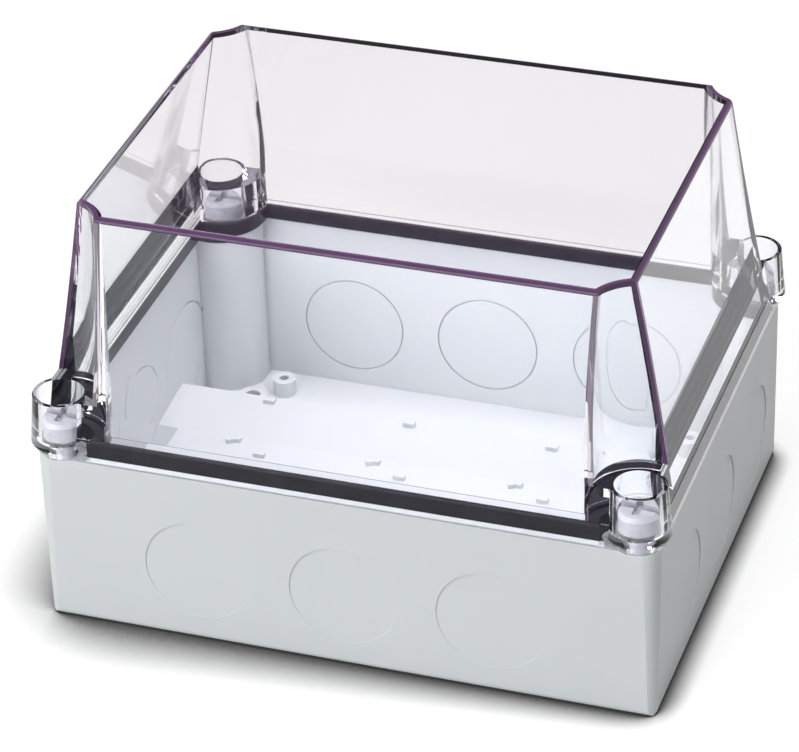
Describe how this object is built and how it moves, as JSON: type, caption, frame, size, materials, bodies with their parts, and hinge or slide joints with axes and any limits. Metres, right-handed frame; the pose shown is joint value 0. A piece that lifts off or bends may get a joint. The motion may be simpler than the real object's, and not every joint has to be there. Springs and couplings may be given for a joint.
{
  "type": "hinged junction box",
  "caption": "Deep rectangular junction box: grey base with cable knockouts, hinged clear domed cover, black seal and quarter-turn corner screws.",
  "frame": {"origin": "centre of the wall fixing pattern, on the underside of the base", "axes": "+X along the long walls, +Y towards the hinge, +Z from the base towards the lid"},
  "size_m": [0.209, 0.1691, 0.145],
  "materials": {
    "base_plastic": "satin light grey thermoplastic",
    "lid_clear": "clear polished polycarbonate",
    "seal_rubber": "black elastomer",
    "screw_plastic": "pale grey moulded plastic",
    "pin_steel": "plain steel pin"
  },
  "bodies": {
    "base": {"base_shell": "base_plastic", "hinge_pin_left": "pin_steel", "hinge_pin_right": "pin_steel"},
    "lid": {"lid_shell": "lid_clear", "lid_gasket": "seal_rubber"},
    "screw_front_left": {"lid_screw_front_left": "screw_plastic", "cross_pin_front_left": "pin_steel", "screw_seal_front_left": "seal_rubber"},
    "screw_front_right": {"lid_screw_front_right": "screw_plastic", "cross_pin_front_right": "pin_steel", "screw_seal_front_right": "seal_rubber"},
    "screw_rear_left": {"lid_screw_rear_left": "screw_plastic", "cross_pin_rear_left": "pin_steel", "screw_seal_rear_left": "seal_rubber"},
    "screw_rear_right": {"lid_screw_rear_right": "screw_plastic", "cross_pin_rear_right": "pin_steel", "screw_seal_rear_right": "seal_rubber"}
  },
  "joints": [
    {"name": "lid_hinge", "type": "hinge", "parent": "base", "child": "lid", "pos_m": [0, 0.0835, 0.054], "axis": [-1, 0, 0], "range_deg": [0, 110]},
    {"name": "screw_turn_front_left", "type": "hinge", "parent": "lid", "child": "screw_front_left", "pos_m": [-0.094, -0.0715, 0.068], "axis": [0, 0, -1], "range_deg": [0, 90]},
    {"name": "screw_turn_front_right", "type": "hinge", "parent": "lid", "child": "screw_front_right", "pos_m": [0.094, -0.0715, 0.068], "axis": [0, 0, -1], "range_deg": [0, 90]},
    {"name": "screw_turn_rear_left", "type": "hinge", "parent": "lid", "child": "screw_rear_left", "pos_m": [-0.094, 0.0715, 0.068], "axis": [0, 0, -1], "range_deg": [0, 90]},
    {"name": "screw_turn_rear_right", "type": "hinge", "parent": "lid", "child": "screw_rear_right", "pos_m": [0.094, 0.0715, 0.068], "axis": [0, 0, -1], "range_deg": [0, 90]}
  ]
}
